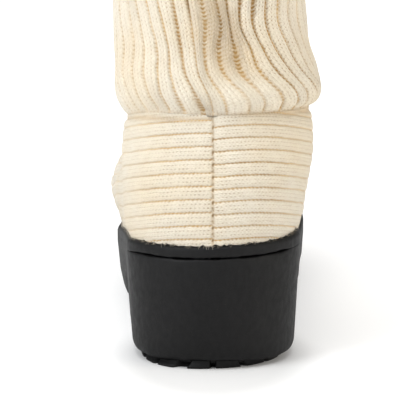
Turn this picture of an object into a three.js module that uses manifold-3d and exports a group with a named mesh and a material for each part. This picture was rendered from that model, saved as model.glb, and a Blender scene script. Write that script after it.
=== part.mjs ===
// Sock boot for the left foot: a rib-knit upper and a slouched rib-knit shaft on a chunky rubber sole.
// Millimetres. The toe points along +Y, the outer side of the foot is -X, and the floor is at Z = 0.
// The origin is on the floor under the middle of the heel.

import * as THREE from 'three';
import { mergeVertices } from 'three/addons/utils/BufferGeometryUtils.js';
import Module from 'manifold-3d';

const { degToRad, lerp, smoothstep } = THREE.MathUtils;

// Sole
const HEEL_BACK = -37;
const TOE_TIP = 231;
const HEEL_ROUND = 36;
const TOE_ROUND = 80;
const TOE_FULLNESS = 2.3;
const TOE_SWING = 7;
const SWING_START = 60;
const TREAD = 4.2;
const TREAD_INSET = 6;
const MIDSOLE = 5;
const INSOLE = 3;
const HEEL_BREAST = 33;
const ARCH_BACK = 52;
const ARCH_FRONT = 58;
const FOREFOOT_START = 90;
const ARCH_RISE = 18;
const SPRING_START = 160;
const TOE_SPRING = 11;
const LUG_DEPTH = 3;

// Knit
const WALL = 3;
const RIB_PITCH = 5.6;
const RIB_DEPTH = 1.2;
const RIB_FADE = { start: 0.35, end: 0.6 };
const BALL_BLEND = { start: 0.25, end: 0.6 };
const JOIN_RISE = 58;
const SHAFT_RIBS = 45;
const SHAFT_SETTLE = 60;

// Clearance between neighbouring pieces
const GAP = 0.3;

// How finely the long outlines are stepped from heel to toe
const SOLE_STEPS = 36;
const UPPER_STEPS = 32;

// Half widths of the sole to the outer and the inner side of the heel's centre line
const SOLE_PLAN = [
  { y: -37, outer: 38, inner: 38 },
  { y: 5, outer: 39.2, inner: 38.4 },
  { y: 50, outer: 42, inner: 40 },
  { y: 90, outer: 45.4, inner: 42 },
  { y: 122, outer: 48, inner: 42.8 },
  { y: 148, outer: 47, inner: 43.6 },
  { y: 180, outer: 44, inner: 42 },
  { y: 231, outer: 40, inner: 39 },
];

// Height of the sole's top, on which the upper and the insole sit
const SEAT = [
  { y: -37, z: 56.6 },
  { y: 5, z: 55.4 },
  { y: 45, z: 47 },
  { y: 85, z: 36.5 },
  { y: 120, z: 33 },
  { y: 165, z: 33.5 },
  { y: 205, z: 37 },
  { y: 231, z: 41 },
];

// Lower edge of the platform block: a round corner, then the draft of its wall
const BLOCK_CORNER = [
  { rise: 0, inset: 5.2 },
  { rise: 0.7, inset: 3.7 },
  { rise: 2.2, inset: 2.8 },
  { rise: 5, inset: 2.3 },
];

// The chamfers on both sides of the groove between block and rim, and the rim's soft top edge
const GROOVE_CHAMFER = 1;
const RIM_SOFTNESS = 1.2;

// Notches in the back edge of the heel tread, and the pitch of those along the forefoot
const HEEL_NOTCHES = [
  { x: -23.5, width: 2, turn: 24 },
  { x: -13.5, width: 7, turn: 10 },
  { x: 0.5, width: 2.4, turn: 0 },
  { x: 13, width: 2.4, turn: -12 },
  { x: 23.5, width: 2, turn: -24 },
];
const HEEL_NOTCH_REACH = 7;
const FOREFOOT_NOTCH = { first: 102, last: 192, pitch: 15, width: 4, reach: 12 };

// Loops round the upper, from the sole's edge to the ankle seam. rise and frontRise are the heights over
// the seat at the back and at the front, the widths are half widths, and the rounds are the end depths.
const UPPER_LOOPS = [
  { rise: 0, frontRise: 0, back: -34.8, front: 228, outer: 36.6, inner: 36.6,
    ballOuter: 46.2, ballInner: 42, backRound: 28, frontRound: 78 },
  { rise: 7, frontRise: 8, back: -36.5, front: 230, outer: 38.5, inner: 39,
    ballOuter: 48.6, ballInner: 43.5, backRound: 32, frontRound: 78 },
  { rise: 16, frontRise: 19, back: -37.5, front: 228.5, outer: 40, inner: 41.2,
    ballOuter: 51, ballInner: 44, backRound: 36, frontRound: 78 },
  { rise: 26, frontRise: 30, back: -37.5, front: 221, outer: 41, inner: 43.4,
    ballOuter: 49.6, ballInner: 43, backRound: 38, frontRound: 80 },
  { rise: 36, frontRise: 39, back: -36.5, front: 203, outer: 41.2, inner: 45,
    ballOuter: 43, ballInner: 39.5, backRound: 40, frontRound: 90 },
  { rise: 44, frontRise: 47, back: -35, front: 162, outer: 40.9, inner: 45.3,
    ballOuter: 35.5, ballInner: 37, backRound: 42, frontRound: 100 },
  { rise: 51, frontRise: 58, back: -33.5, front: 120, outer: 40.4, inner: 45,
    ballOuter: 34, ballInner: 37, backRound: 44, frontRound: 92 },
  { rise: 55, frontRise: 69, back: -32, front: 90, outer: 40, inner: 44.8,
    ballOuter: 35, ballInner: 39, backRound: 45, frontRound: 72 },
  { rise: 58, frontRise: 81, back: -31, front: 67, outer: 39.7, inner: 44.5,
    ballOuter: 37, ballInner: 41.5, backRound: 46, frontRound: 52 },
];

// The ankle seam hangs lower at the two sides of the foot than at its back and front
const SEAM_DIP = { outer: 9, inner: 2.5 };
const FRONT_CLIMB = 3;

// Loops round the shaft, step by step up from the ankle seam: tucked in there, slouched out just above it
const SHAFT_LOOPS = [
  { step: 0, height: 0, back: -31, front: 67, outer: 39.6, inner: 44.4,
    ballOuter: 37, ballInner: 41.5, backRound: 46, frontRound: 52 },
  { step: 1, height: 1, back: -32.2, front: 68.4, outer: 40.5, inner: 46.6,
    ballOuter: 38.4, ballInner: 43.6, backRound: 47, frontRound: 53 },
  { step: 2, height: 4, back: -34, front: 70.6, outer: 42.6, inner: 49.5,
    ballOuter: 40.8, ballInner: 46, backRound: 49, frontRound: 55 },
  { step: 3, height: 9, back: -35.2, front: 72.4, outer: 44.9, inner: 50.3,
    ballOuter: 43, ballInner: 47, backRound: 51, frontRound: 57 },
  { step: 4, height: 18, back: -34.8, front: 72.4, outer: 46.4, inner: 48,
    ballOuter: 44.2, ballInner: 46, backRound: 51, frontRound: 57 },
  { step: 5, height: 30, back: -32.8, front: 70.4, outer: 45.6, inner: 44.7,
    ballOuter: 44, ballInner: 44, backRound: 49, frontRound: 55 },
  { step: 6, height: 52, back: -31, front: 68, outer: 46.3, inner: 41,
    ballOuter: 44.4, ballInner: 41.5, backRound: 48, frontRound: 52 },
  { step: 7, height: 88, back: -31, front: 68, outer: 46.5, inner: 42,
    ballOuter: 45, ballInner: 42, backRound: 48, frontRound: 52 },
  { step: 8, height: 128, back: -32, front: 69, outer: 46.8, inner: 44.5,
    ballOuter: 45.5, ballInner: 44, backRound: 49, frontRound: 53 },
];
const SHAFT_STEPS = [0, 0.5, 1, 1.5, 2, 2.5, 3, 3.5, 4, 4.5, 5, 6, 7, 8];
const SHAFT_INSIDE_STEPS = [0, 1, 2, 3, 4, 5, 6, 7, 8];
const UPPER_INSIDE_RISES = [0, 7, 16, 26, 36, 43, 49, 54, 58];

// Smooth reading of a table: a cubic through its rows, flat beyond its ends
function readTable(table, by, key, place) {
  const last = table.length - 1;
  const inside = Math.min(Math.max(place, table[0][by]), table[last][by]);
  const found = table.findIndex((row, index) => index > 0 && inside <= row[by]);
  const low = table[found - 1];
  const high = table[found];
  const span = high[by] - low[by];
  const t = (inside - low[by]) / span;
  const slope = (index) => {
    const before = table[Math.max(index - 1, 0)];
    const after = table[Math.min(index + 1, last)];
    return (after[key] - before[key]) / (after[by] - before[by]);
  };
  const startPull = slope(found - 1) * span;
  const endPull = slope(found) * span;
  const change = high[key] - low[key];
  const bend = startPull + endPull - 2 * change;
  return low[key] + t * (startPull + t * (3 * change - 2 * startPull - endPull + t * bend));
}

const seat = (y) => readTable(SEAT, 'y', 'z', y);

// Under the treads: flat at heel and forefoot, raised in the arch, curling up at the toe
function underside(y) {
  const arch = smoothstep(y, HEEL_BREAST, ARCH_BACK) * (1 - smoothstep(y, ARCH_FRONT, FOREFOOT_START));
  const curl = Math.max(0, (y - SPRING_START) / (TOE_TIP - SPRING_START));
  return ARCH_RISE * arch + TOE_SPRING * curl ** 2;
}

const blockUnderside = (y) => underside(y) + TREAD + GAP;

// The toe leans to the inner side of the foot
const toeAxis = (y) => TOE_SWING * Math.max(0, (y - SWING_START) / (TOE_TIP - SWING_START)) ** 2;

// Share of the full half width that is left near the round back and the round tip of an outline
function roundEnds(fromBack, fromTip, backRound, frontRound) {
  const back = Math.max(0, 1 - fromBack / backRound);
  const tip = Math.max(0, 1 - fromTip / frontRound);
  const backShare = Math.sqrt(Math.max(0, 1 - back ** 2));
  const tipShare = Math.max(0, 1 - tip ** TOE_FULLNESS) ** (1 / TOE_FULLNESS);
  return backShare * tipShare;
}

// Point of the sole's outline, s from heel to toe, side -1 outer and +1 inner, grown or inset all round
function soleEdge(s, side, grow) {
  const y = lerp(HEEL_BACK - grow, TOE_TIP + grow, s);
  const half = readTable(SOLE_PLAN, 'y', side < 0 ? 'outer' : 'inner', y) + grow;
  const share = roundEnds(y - HEEL_BACK + grow, TOE_TIP + grow - y, HEEL_ROUND, TOE_ROUND);
  return new THREE.Vector3(toeAxis(y) + side * half * share, y, 0);
}

// Point of a loop round the leg or foot, its sizes read from a table of loops
function loopPoint(loops, by, place, s, side, grow = 0) {
  const read = (key) => readTable(loops, by, key, place);
  const back = read('back') - grow;
  const front = read('front') + grow;
  const y = lerp(back, front, s);
  const heelHalf = read(side < 0 ? 'outer' : 'inner');
  const ballHalf = read(side < 0 ? 'ballOuter' : 'ballInner');
  const half = lerp(heelHalf, ballHalf, smoothstep(s, BALL_BLEND.start, BALL_BLEND.end)) + grow;
  const share = roundEnds(y - back, front - y, read('backRound'), read('frontRound'));
  return new THREE.Vector3(toeAxis(y) + side * half * share, y, 0);
}

function upperPoint(s, side, rise) {
  const point = loopPoint(UPPER_LOOPS, 'rise', rise, s, side);
  const frontRise = readTable(UPPER_LOOPS, 'rise', 'frontRise', rise);
  const dip = (side < 0 ? SEAM_DIP.outer : SEAM_DIP.inner) * (rise / JOIN_RISE) ** 2;
  const sag = dip * Math.sin(Math.PI * s) ** 2;
  point.z = seat(point.y) + GAP + lerp(rise, frontRise, s ** FRONT_CLIMB) - sag;
  return point;
}

const joinHeight = (s, side) => upperPoint(s, side, JOIN_RISE).z + GAP;
const MEAN_JOIN = joinHeight(0.5, 1);

function shaftPoint(s, side, step) {
  const point = loopPoint(SHAFT_LOOPS, 'step', step, s, side);
  const height = readTable(SHAFT_LOOPS, 'step', 'height', step);
  point.z = height + lerp(joinHeight(s, side), MEAN_JOIN, smoothstep(height, 0, SHAFT_SETTLE));
  return point;
}

// Steps from heel to toe, closer together at the round ends
function easedSteps(count) {
  return Array.from({ length: count + 1 }, (_, i) => (1 - Math.cos((Math.PI * i) / count)) / 2);
}

// The sole's steps, with more of them where the arch rises and falls
function soleSteps() {
  const quarters = [0, 0.25, 0.5, 0.75, 1];
  const breast = quarters.map((part) => lerp(HEEL_BREAST, ARCH_BACK, part));
  const rampDown = quarters.map((part) => lerp(ARCH_FRONT, FOREFOOT_START, part));
  const extra = [...breast, ...rampDown].map((y) => (y - HEEL_BACK) / (TOE_TIP - HEEL_BACK));
  return [...easedSteps(SOLE_STEPS), ...extra].sort((a, b) => a - b);
}

// Loop of points along the inner side from back to front and along the outer side back again.
// An end where both sides meet is one point.
function ring(steps, pointAt) {
  const inner = steps.map((s) => pointAt(s, 1));
  const outer = steps.map((s) => pointAt(s, -1)).reverse();
  const pointedFront = steps.at(-1) === 1;
  const pointedBack = steps[0] === 0;
  return [...inner, ...outer.slice(pointedFront ? 1 : 0, pointedBack ? -1 : undefined)];
}

function toGeometry(points, faces) {
  const geometry = new THREE.BufferGeometry();
  geometry.setFromPoints(points);
  geometry.setIndex(faces);
  return geometry;
}

// Triangles between rings that follow each other
function bands(ringSize, ringCount, closed) {
  const faces = [];
  const bandCount = closed ? ringCount : ringCount - 1;
  for (let k = 0; k < bandCount; k += 1) {
    const low = k * ringSize;
    const high = ((k + 1) % ringCount) * ringSize;
    for (let j = 0; j < ringSize; j += 1) {
      const next = (j + 1) % ringSize;
      faces.push(low + j, low + next, high + next, low + j, high + next, high + j);
    }
  }
  return faces;
}

// Triangles across a ring, rung by rung from back to front, facing up
function rungs(steps) {
  const count = steps.length;
  const pointedFront = steps.at(-1) === 1;
  const pointedBack = steps[0] === 0;
  const lastOuter = pointedFront ? count - 2 : count - 1;
  const outerIndex = (i) => {
    const shared = (pointedBack && i === 0) || (pointedFront && i === count - 1);
    return shared ? i : count + lastOuter - i;
  };
  const faces = [];
  for (let i = 0; i + 1 < count; i += 1) {
    const corners = [i, i + 1, outerIndex(i + 1), outerIndex(i)];
    if (corners[1] !== corners[2]) faces.push(corners[0], corners[1], corners[2]);
    if (corners[3] !== corners[0]) faces.push(corners[0], corners[2], corners[3]);
  }
  return faces;
}

// Solid from rings that lie over each other, closed below and above
function slab(steps, levels) {
  const rings = levels.map((pointAt) => ring(steps, pointAt));
  const size = rings[0].length;
  const cap = rungs(steps);
  const topStart = size * (rings.length - 1);
  const below = cap.toReversed();
  const above = cap.map((index) => index + topStart);
  return toGeometry(rings.flat(), [...bands(size, rings.length, false), ...below, ...above]);
}

// Hollow wall from rings that run up its outside and down its inside
function wall(rings) {
  return toGeometry(rings.flat(), bands(rings[0].length, rings.length, true));
}

// Rings of a knit surface moved along the surface's own normals by offsetAt(row, index). The end rings
// move level, so that the edges stay flat.
function offsetRings(rings, offsetAt) {
  const size = rings[0].length;
  const skin = toGeometry(rings.flat(), bands(size, rings.length, false));
  skin.computeVertexNormals();
  const normals = skin.getAttribute('normal');
  const last = rings.length - 1;
  return rings.map((points, row) => points.map((point, index) => {
    const normal = new THREE.Vector3().fromBufferAttribute(normals, row * size + index);
    if (row === 0 || row === last) normal.setZ(0).normalize();
    return point.clone().addScaledVector(normal, offsetAt(row, index));
  }));
}

// Booleans
const wasm = await Module();
wasm.setup();

function toSolid(geometry) {
  const bare = geometry.clone();
  bare.deleteAttribute('normal');
  bare.deleteAttribute('uv');
  const merged = mergeVertices(bare);
  const vertProperties = merged.getAttribute('position').array;
  const triVerts = new Uint32Array(merged.getIndex().array);
  return new wasm.Manifold(new wasm.Mesh({ numProp: 3, vertProperties, triVerts }));
}

function fromSolid(solid) {
  const mesh = solid.getMesh();
  const geometry = new THREE.BufferGeometry();
  geometry.setAttribute('position', new THREE.BufferAttribute(mesh.vertProperties, 3));
  geometry.setIndex(new THREE.BufferAttribute(mesh.triVerts, 1));
  return geometry;
}

function cutNotches(geometry, notches) {
  const cut = notches.reduce((solid, notch) => solid.subtract(toSolid(notch)), toSolid(geometry));
  return fromSolid(cut);
}

// Sole pieces
function treadPlate(firstY, lastY) {
  const back = HEEL_BACK + TREAD_INSET;
  const front = TOE_TIP - TREAD_INSET;
  const toStep = (y) => Math.min(Math.max((y - back) / (front - back), 0), 1);
  const first = toStep(firstY);
  const last = toStep(lastY);
  const between = easedSteps(SOLE_STEPS).filter((s) => s > first && s < last);
  const level = (lift) => (s, side) => {
    const point = soleEdge(s, side, -TREAD_INSET);
    return point.setZ(underside(point.y) + lift);
  };
  return slab([first, ...between, last], [level(0), level(TREAD)]);
}

// Where the round back edge of the heel tread runs at a place across it
function heelTreadBack(x) {
  const half = SOLE_PLAN[0].outer - TREAD_INSET;
  const share = Math.sqrt(1 - Math.min(1, Math.abs(x) / half) ** 2);
  return HEEL_BACK + TREAD_INSET + HEEL_ROUND * (1 - share);
}

function heelTread() {
  const plate = treadPlate(HEEL_BACK, HEEL_BREAST);
  const notches = HEEL_NOTCHES.map(({ x, width, turn }) => {
    const notch = new THREE.BoxGeometry(width, 2 * HEEL_NOTCH_REACH, 2 * LUG_DEPTH);
    return notch.rotateZ(degToRad(-turn)).translate(x, heelTreadBack(x), 0);
  });
  return cutNotches(plate, notches);
}

function forefootTread() {
  const plate = treadPlate(FOREFOOT_START, TOE_TIP);
  const { first, last, pitch, width, reach } = FOREFOOT_NOTCH;
  const notches = [];
  for (let y = first; y <= last; y += pitch) {
    for (const side of [-1, 1]) {
      const s = (y - HEEL_BACK - TREAD_INSET) / (TOE_TIP - HEEL_BACK - 2 * TREAD_INSET);
      const edge = soleEdge(s, side, -TREAD_INSET);
      const notch = new THREE.BoxGeometry(2 * reach, width, 2 * LUG_DEPTH);
      notches.push(notch.translate(edge.x, edge.y, underside(edge.y)));
    }
  }
  return cutNotches(plate, notches);
}

function platformBlock() {
  const corner = BLOCK_CORNER.map(({ rise, inset }) => (s, side) => {
    const point = soleEdge(s, side, -inset);
    return point.setZ(blockUnderside(point.y) + rise);
  });
  const under = (drop, inset) => (s, side) => {
    const point = soleEdge(s, side, -inset);
    return point.setZ(seat(point.y) - MIDSOLE - GAP - drop);
  };
  return slab(soleSteps(), [...corner, under(GROOVE_CHAMFER, 0), under(0, GROOVE_CHAMFER)]);
}

function midsoleRim() {
  const level = (drop, inset) => (s, side) => {
    const point = soleEdge(s, side, -inset);
    return point.setZ(seat(point.y) - drop);
  };
  return slab(soleSteps(), [
    level(MIDSOLE, GROOVE_CHAMFER),
    level(MIDSOLE - GROOVE_CHAMFER, 0),
    level(RIM_SOFTNESS, 0),
    level(0, RIM_SOFTNESS),
  ]);
}

function insole() {
  const level = (lift) => (s, side) => {
    const point = loopPoint(UPPER_LOOPS, 'rise', 0, s, side, -WALL - 2 * GAP);
    return point.setZ(seat(point.y) + GAP + lift);
  };
  return slab(easedSteps(UPPER_STEPS), [level(0), level(INSOLE)]);
}

// Foot part of the knit: ribs run level round the heel and along the sides, and flatten towards the vamp
function upper() {
  const steps = easedSteps(UPPER_STEPS);
  const rowCount = 2 * Math.round(JOIN_RISE / RIB_PITCH);
  const rises = Array.from({ length: rowCount + 1 }, (_, row) => (JOIN_RISE * row) / rowCount);
  const outside = rises.map((rise) => ring(steps, (s, side) => upperPoint(s, side, rise)));
  const places = ring(steps, (s) => s);
  const ribbed = offsetRings(outside, (row, index) => {
    const onRib = row % 2 === 1 ? 0 : -RIB_DEPTH;
    const atEdge = row === 0 || row === rowCount;
    return atEdge ? 0 : onRib * (1 - smoothstep(places[index], RIB_FADE.start, RIB_FADE.end));
  });
  const smooth = UPPER_INSIDE_RISES.map((rise) => ring(steps, (s, side) => upperPoint(s, side, rise)));
  const inside = offsetRings(smooth, () => -WALL);
  return wall([...ribbed, ...inside.toReversed()]);
}

// Shaft: upright ribs all round, a smooth inside
function shaft() {
  const steps = easedSteps(SHAFT_RIBS);
  const outside = SHAFT_STEPS.map((step) => ring(steps, (s, side) => shaftPoint(s, side, step)));
  const ribbed = offsetRings(outside, (row, index) => (index % 2 === 0 ? -RIB_DEPTH : 0));
  const smooth = SHAFT_INSIDE_STEPS.map((step) => ring(steps, (s, side) => shaftPoint(s, side, step)));
  const inside = offsetRings(smooth, () => -WALL);
  return wall([...ribbed, ...inside.toReversed()]);
}

// The boot
const RUBBER = { color: '#28292b', roughness: 0.72, metalness: 0 };
const CREAM_KNIT = { color: '#efe5ca', roughness: 0.95, metalness: 0 };
const FOOTBED = { color: '#d8cbb0', roughness: 0.9, metalness: 0 };

const PIECES = [
  { name: 'heel_tread', geometry: heelTread(), finish: RUBBER },
  { name: 'forefoot_tread', geometry: forefootTread(), finish: RUBBER },
  { name: 'platform_block', geometry: platformBlock(), finish: RUBBER },
  { name: 'midsole_rim', geometry: midsoleRim(), finish: RUBBER },
  { name: 'insole', geometry: insole(), finish: FOOTBED },
  { name: 'upper', geometry: upper(), finish: CREAM_KNIT },
  { name: 'shaft', geometry: shaft(), finish: CREAM_KNIT },
];

const boot = new THREE.Group();
for (const { name, geometry, finish } of PIECES) {
  const mesh = new THREE.Mesh(geometry, new THREE.MeshStandardMaterial(finish));
  mesh.name = name;
  boot.add(mesh);
}

export default boot;
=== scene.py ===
"""Looks of the sock boot: rib-knit upper and slouched rib-knit shaft on a chunky rubber sole."""
import math

import bpy
import numpy as np
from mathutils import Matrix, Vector


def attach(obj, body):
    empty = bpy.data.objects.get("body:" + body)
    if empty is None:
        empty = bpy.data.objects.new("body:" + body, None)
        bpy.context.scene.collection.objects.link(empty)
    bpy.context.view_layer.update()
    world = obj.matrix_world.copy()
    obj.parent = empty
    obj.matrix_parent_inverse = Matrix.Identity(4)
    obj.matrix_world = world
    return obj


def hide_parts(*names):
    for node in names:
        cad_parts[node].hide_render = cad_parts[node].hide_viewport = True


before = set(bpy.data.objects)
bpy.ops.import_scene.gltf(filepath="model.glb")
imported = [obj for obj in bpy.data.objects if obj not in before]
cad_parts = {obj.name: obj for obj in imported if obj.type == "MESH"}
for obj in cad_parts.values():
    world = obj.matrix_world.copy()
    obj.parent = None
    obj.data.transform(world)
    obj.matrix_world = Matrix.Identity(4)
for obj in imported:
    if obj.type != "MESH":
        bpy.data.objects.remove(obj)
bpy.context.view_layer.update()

# All sizes are millimetres in the frame of the part: toe +Y, outer side of the foot -X, floor Z = 0
MM = 0.001
TINY = 1e-9
SEED = 7


def table(columns, *rows):
    """Rows of numbers under the names of their columns."""
    return [dict(zip(columns.split(), row)) for row in rows]


# Sole, as in the part
HEEL_BACK = -37
TOE_TIP = 231
HEEL_ROUND = 36
TOE_ROUND = 80
TOE_FULLNESS = 2.3
TOE_SWING = 7
SWING_START = 60
TREAD = 4.2
MIDSOLE = 5
INSOLE = 3
HEEL_BREAST = 33
ARCH_BACK = 52
ARCH_FRONT = 58
FOREFOOT_START = 90
ARCH_RISE = 18
SPRING_START = 160
TOE_SPRING = 11
GAP = 0.3

# The rim stands a little higher to the inner side at the heel, per millimetre across, and swells up along the
# outer side of the waist, past a dip at the heel's corner. The knit over it evens this out within RIM_LIFT_RISE.
RIM_TILT = 0.026
RIM_TILT_END = (10, 70)
WAIST_SWELL = dict(y=85, reach=28, lift=4.2, across=40)
CORNER_DIP = dict(y=8, reach=26, drop=1.9, across=(28, 40))
RIM_LIFT_RISE = 30

# Half widths of the sole to the outer and the inner side
SOLE_PLAN = table(
    "y outer inner",
    (-37, 38, 39), (5, 39.2, 39.4), (50, 42, 40), (90, 45.4, 42),
    (122, 48, 42.8), (148, 47, 43.6), (180, 44, 42), (231, 40, 39),
)

# Height of the sole's top
SEAT = table(
    "y z",
    (-37, 56.6), (5, 55.4), (45, 47), (85, 36.5),
    (120, 33), (165, 33.5), (205, 37), (231, 41),
)

# Wall of the knit, and the share of a loop's length where it has the full width of the ball
WALL = 3
BALL_FULL = 0.62

# Ankle seam: its height over the sole, how far it dips at the sides and how late it climbs to the front, and the
# height over it where the shaft's loops have come level
JOIN_RISE = 58
SEAM_DIP = dict(outer=7.4, inner=2.5)
FRONT_CLIMB = 3
SHAFT_SETTLE = 60

# Loops round the foot from the sole's edge to the ankle seam, and round the shaft from there up. From
# ball_start on, a share of the length, the width passes from that of the heel to that of the ball.
LOOP_SIZES = "back front outer inner ball_outer ball_inner back_round front_round ball_start"
UPPER_LOOPS = table(
    "rise front_rise " + LOOP_SIZES,
    (0, 0, -36, 229.6, 36.8, 36.6, 45, 40.2, 35, 79, 0.06),
    (7, 8, -37, 230.4, 39.4, 40.2, 46.6, 42.4, 36, 79, 0.06),
    (16, 19, -37.5, 228.5, 40.4, 41.6, 49.6, 43.6, 38, 78, 0.1),
    (26, 30, -37.5, 221, 41, 43.4, 50.4, 43, 39, 80, 0.16),
    (36, 39, -36.5, 203, 41.2, 45, 44.4, 39.5, 40, 90, 0.24),
    (44, 47, -35, 162, 40.9, 45.3, 35.5, 37, 42, 100, 0.29),
    (51, 58, -33.5, 120, 40.4, 45, 34, 37, 44, 92, 0.29),
    (55, 69, -32, 90, 40, 44.8, 35, 39, 45, 72, 0.29),
    (58, 81, -31, 67, 39.7, 44.5, 37, 41.5, 46, 52, 0.29),
)
SHAFT_LOOPS = table(
    "step height " + LOOP_SIZES,
    (0, 0, -31, 67, 39.6, 44.4, 37, 41.5, 46, 52, 0.29),
    (1, 1, -32.2, 68.4, 40.5, 46.6, 38.4, 43.6, 47, 53, 0.29),
    (2, 4, -34, 70.6, 42.6, 49.5, 40.8, 46, 49, 55, 0.29),
    (3, 9, -35.2, 72.4, 44.9, 50.3, 43, 47, 51, 57, 0.29),
    (4, 18, -34.8, 72.4, 46.4, 48, 44.2, 46, 51, 57, 0.29),
    (5, 30, -32.8, 70.4, 45.6, 44.7, 44, 44, 49, 55, 0.29),
    (6, 52, -31, 68, 46.3, 41, 44.4, 41.5, 48, 52, 0.29),
    (7, 88, -31, 68, 46.5, 42, 45, 42, 48, 52, 0.29),
    (8, 128, -32, 69, 46.8, 44.5, 45.5, 44, 49, 53, 0.29),
)

# How finely the knit is meshed: columns round, which are even at one loop, and rows up the outside and down the
# inside. Steps along a path that is measured are finer.
UPPER_GRID = dict(columns=560, rows=112, inside=26, even_at=20.0)
SHAFT_GRID = dict(columns=630, rows=92, inside=22, even_at=5.0)
RING_STEPS = 4001
RISE_STEPS = 2001

# Ribs: depth of the groove between two, and the crown of a rib. Widths across a rib are shares of its pitch: half
# a closed groove, and half of one that is pulled open to a ladder. The relief of a groove is wider than its
# painted shade, a ladder is deeper by a share, and the wall's inside shows a share of the ribs.
FOOT_RIB = dict(depth=0.8, crown=0.18)
SHAFT_RIB = dict(depth=0.9, crown=0.55)
GROOVE_HALF = 0.065
LADDER_HALF = 0.27
GROOVE_SPREAD = 1.3
LADDER_DEEPER = 0.4
INSIDE_RIBS = 0.3

# Columns of stitches on a rib, and the length of a stitch
WALES = 3
COURSE = 1.75

# Height over which the ribs come in at the knit's lower edges
EDGE_RISE = dict(upper=1.6, shaft=1.2)

# Foot ribs lie in planes that fall towards the toe at the heel, and turn about this spine at the vamp.
# The halves meet in a sunk seam at the centre back, where their ribs don't match.
RIB_FALL = 0.2126
RIB_SPINE = table(
    "y z",
    (-37, 86), (60, 65.4), (90, 57), (130, 48),
    (180, 38), (205, 31), (221, 24), (231, 8),
)
HEEL_RIBS = dict(first=dict(outer=3.5, inner=2.64), pitch=dict(outer=5.81, inner=5.56))
SIDE_BLEND = (15, 85)
VAMP_RIBS = 16.5
SIDE_RIBS = 4.51
BACK_SEAM = dict(depth=0.9, half=0.45, shoulder=0.55, reach=2, sway=0.35, plain=0.6, knot=0.16)

# The heel's ribs droop across each side. They are flatter at the sides, and as painted light the painted shade of
# their grooves and pits fades there, most on the outer side, which the key light faces.
RIB_DROOP = dict(outer=dict(depth=1.8, across=38), inner=dict(depth=1.5, across=46))
SIDE_FLAT = dict(share=0.5, across=(26, 42))
SIDE_PAINTED_LIGHT = dict(outer=dict(share=0.55, across=(15, 46)), inner=dict(share=0.3, across=(25, 46)))

# Stitches are counted round the heel, along the foot, and down over the toe
HEEL_CENTRE = 8
HEEL_RADIUS = 42
TOE_WRAP = dict(start=195, height=62)

# Loose fibres along the lower edge of the knit, and that edge's teeth
FRAY = dict(count=1500, rise=(0, 2.4), length=(0.8, 2), drop=(0.1, 0.9), lean=(-0.8, 0.8), out=0.7, root=0.2,
            twist=0.2, half=0.08, taper=0.85, steps=4)
RAGGED_EDGE = dict(lift=0.9, fade=2.4)

# Grooves of the shaft by number: the turn of each from the back, in degrees, at these heights over the ankle
# seam. The knit has slumped to the inner side, so they swing that way as they come down.
GROOVE_HEIGHTS = (0, 8, 19, 30, 41, 53)
SHAFT_GROOVES = {
    -22: (-180, -180, -180, -180, -180, -180),
    -15: (-119, -121, -123, -123, -123, -123),
    -8: (-52, -55, -60, -60, -63, -64.5),
    -7: (-44, -47, -49.5, -49.2, -52.5, -54.5),
    -6: (-35, -38, -40, -40.4, -43.7, -47.8),
    -5: (-27, -30, -30.3, -31, -35, -38.7),
    -4: (-17, -20.2, -22.6, -24, -27, -31.2),
    -3: (-5, -8.6, -14.4, -17, -19.2, -21.7),
    -2: (0, -2, -7.5, -9.6, -11.5, -14.1),
    -1: (7, 4.4, -2.8, -5, -4.5, -6.6),
    0: (19, 15.6, 5.6, 3.2, 5.3, 1.9),
    1: (27, 23.3, 14.9, 13, 10.7, 8),
    2: (38, 34.2, 25, 21.4, 16.4, 16),
    3: (49, 45.2, 34, 27.3, 23.2, 25),
    4: (57, 53.7, 43.2, 35.2, 32, 33.5),
    5: (69, 66, 52.5, 46, 41.5, 44.2),
    6: (77, 74, 61, 56.2, 52.7, 55.2),
    7: (84, 81, 70, 65, 63, 65),
    8: (90, 87, 77, 73, 72, 73),
    16: (135, 134, 131, 129, 128, 128),
    23: (180, 180, 180, 180, 180, 180),
}

# Soft troughs (negative) and ridges of the shaft: turn from the back, height over the ankle seam,
# reach round and up, how far the fold leans per millimetre of height, and its depth
SHAFT_FOLDS = table(
    "turn height round up lean depth",
    (6, 38, 15, 21, -0.3, -4.4),
    (-22, 42, 8, 26, -0.3, 0.7),
    (24, 36, 8, 20, -0.66, 1.5),
    (18, 9, 19, 6, 0, 1.5),
    (-1, 2, 4, 7, 0, -1.4),
    (-33, 4, 7, 9, 0, -0.9),
    (-52, 34, 9, 22, 0.1, -0.9),
    (56, 40, 9, 20, -0.4, -0.9),
    (150, 22, 34, 6, 0, -3),
    (-150, 16, 30, 6, 0, -2.6),
    (-95, 20, 24, 6, 0, -1.8),
    (95, 30, 22, 7, 0, -1.6),
)
# The shaft's seam along groove -2 sinks and darkens toward the top, where it creases: partly the seam's own tone
# and partly painted shade
SHAFT_SEAM = dict(rib=-2, half=0.085, depth=1.3, rise=(36, 54), tone=0.9)

# Painted shade in the shaft's troughs: how much of the grooves' tone is painted over a trough of full depth
FOLD_PAINTED_SHADE = dict(share=0.55, full=3)

# The roll over the ankle seam is felted, and its ribs all but gone
FELTED = dict(turn=20, height=8, round=25, up=8, keep=0.48)

# The shaft's sewn edge laps over the foot's, and its hem shows a little of the seam's tone: partly the seam's own
# and partly painted shade under the lap
ANKLE_LIP = dict(proud=0.12, drop=1.3, under=0.15, tone=0.3, reach=0.4)

# How deep the shaft's ribs are and how much painted shade their grooves and pits hold, by the number of the groove
SHAFT_STRENGTH = table(
    "rib depth tint",
    (-22, 0.9, 0.8), (-10, 0.8, 0.6), (-6, 0.8, 0.7), (-4, 0.95, 0.9),
    (-3, 1, 1.05), (-2, 0.7, 1), (0, 1.15, 1), (3, 1.25, 1.25),
    (5, 1.1, 1.05), (8, 0.7, 0.6), (23, 0.9, 0.8),
)

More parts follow.
